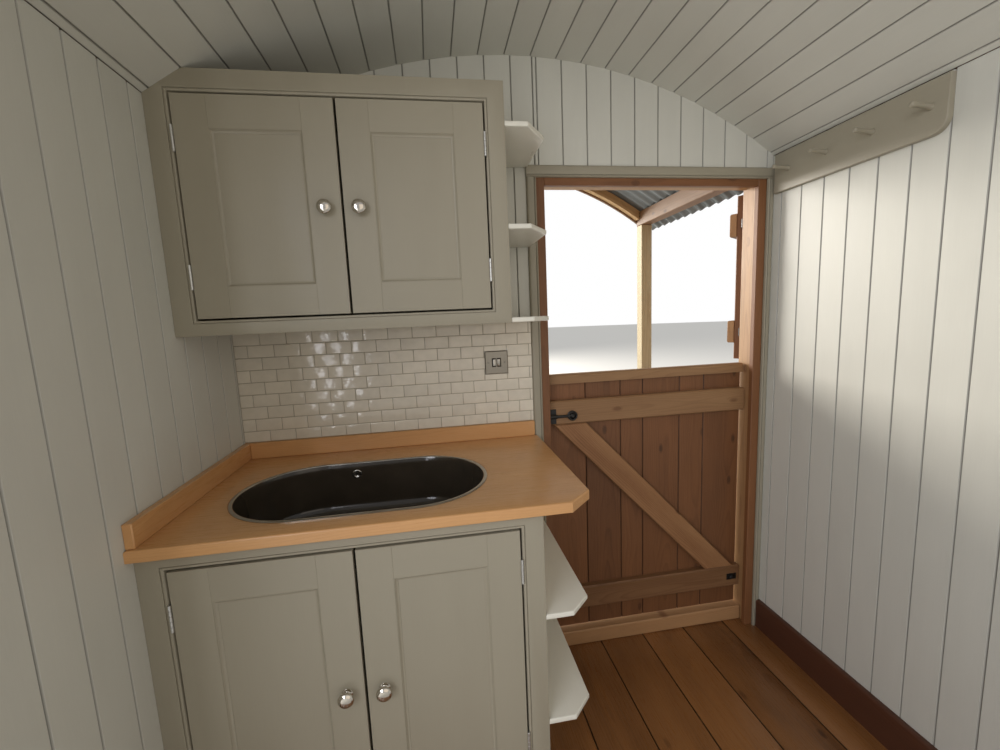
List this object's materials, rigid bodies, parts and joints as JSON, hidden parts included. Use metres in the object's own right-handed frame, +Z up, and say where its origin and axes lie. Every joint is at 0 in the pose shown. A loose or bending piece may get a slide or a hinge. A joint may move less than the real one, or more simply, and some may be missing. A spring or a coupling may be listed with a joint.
{
  "type": "shepherds hut door-end bay with fitted kitchen",
  "caption": "Door-end bay of a shepherds hut: boarded room under an arched ceiling, stable door to a roofed porch, fitted base unit with sink, wall cupboard and peg rail.",
  "frame": {"origin": "on the ground under the middle floor bearer, below the inner face of the end wall", "axes": "+Y out through the door to the porch, +Z up, +X to the right as seen from the room"},
  "size_m": [2.8877, 2.42, 2.5453],
  "materials": {
    "frame_timber": "sawn softwood",
    "floor_timber": "stained pine boards, satin",
    "wall_paint": "painted tongue and groove boards, eggshell",
    "outside_timber": "stained boards",
    "roof_metal": "corrugated steel sheet",
    "post_timber": "treated softwood",
    "door_timber": "stained larch, matt",
    "black_iron": "black japanned iron",
    "cupboard_paint": "painted wood, eggshell",
    "shelf_paint": "painted wood, satin",
    "knob_nickel": "polished nickel",
    "hinge_steel": "steel butt hinges",
    "plate_steel": "brushed steel plate",
    "worktop_timber": "oiled hardwood strips",
    "sink_enamel": "dark glossy bowl with a bright rim",
    "tile_glaze": "glazed brick tiles with thin grout",
    "skirting_timber": "dark stained softwood"
  },
  "bodies": {
    "hut": {"floor_bearers": "frame_timber", "floor_joists": "frame_timber", "floor_boards": "floor_timber", "porch_deck": "floor_timber", "side_wall_frames": "frame_timber", "end_wall_frame": "frame_timber", "side_wall_linings": "wall_paint", "end_wall_linings": "wall_paint", "side_wall_cladding": "outside_timber", "end_wall_cladding": "outside_timber", "ceiling_lining": "wall_paint", "roof_bows": "frame_timber", "roof_sheet": "roof_metal", "eaves_beams": "frame_timber", "porch_posts": "post_timber", "porch_fascia": "outside_timber", "door_frame": "door_timber", "door_trim": "cupboard_paint", "upper_door_leaf": "door_timber", "upper_door_irons": "black_iron", "door_hooks": "black_iron", "base_carcass": "shelf_paint", "base_face_frame": "cupboard_paint", "base_end_shelves": "shelf_paint", "worktop": "worktop_timber", "sink_bowl": "sink_enamel", "wall_cupboard_carcass": "cupboard_paint", "wall_cupboard_face_frame": "cupboard_paint", "wall_end_shelves": "shelf_paint", "cupboard_hinges": "hinge_steel", "tiled_splashback": "tile_glaze", "socket_plate": "plate_steel", "peg_rail": "cupboard_paint", "skirting": "skirting_timber"},
    "lower_door": {"lower_door_boards": "door_timber", "lower_door_ledges": "door_timber", "lower_door_irons": "black_iron"},
    "base_left_leaf": {"base_left_door": "cupboard_paint", "base_left_knob": "knob_nickel"},
    "base_right_leaf": {"base_right_door": "cupboard_paint", "base_right_knob": "knob_nickel"},
    "wall_left_leaf": {"wall_left_door": "cupboard_paint", "wall_left_knob": "knob_nickel"},
    "wall_right_leaf": {"wall_right_door": "cupboard_paint", "wall_right_knob": "knob_nickel"}
  },
  "joints": [
    {"name": "lower_door_swing", "type": "hinge", "parent": "hut", "child": "lower_door", "pos_m": [0.98, 0.112, 0.76], "axis": [0, 0, -1], "range_deg": [0, 130]},
    {"name": "base_left_door_swing", "type": "hinge", "parent": "hut", "child": "base_left_leaf", "pos_m": [-0.9572, -0.609, 0.7045], "axis": [0, 0, -1], "range_deg": [0, 90]},
    {"name": "base_right_door_swing", "type": "hinge", "parent": "hut", "child": "base_right_leaf", "pos_m": [-0.1655, -0.609, 0.7045], "axis": [0, 0, 1], "range_deg": [0, 110]},
    {"name": "wall_left_door_swing", "type": "hinge", "parent": "hut", "child": "wall_left_leaf", "pos_m": [-0.9572, -0.337, 1.8805], "axis": [0, 0, -1], "range_deg": [0, 90]},
    {"name": "wall_right_door_swing", "type": "hinge", "parent": "hut", "child": "wall_right_leaf", "pos_m": [-0.1725, -0.337, 1.8805], "axis": [0, 0, 1], "range_deg": [0, 110]}
  ]
}
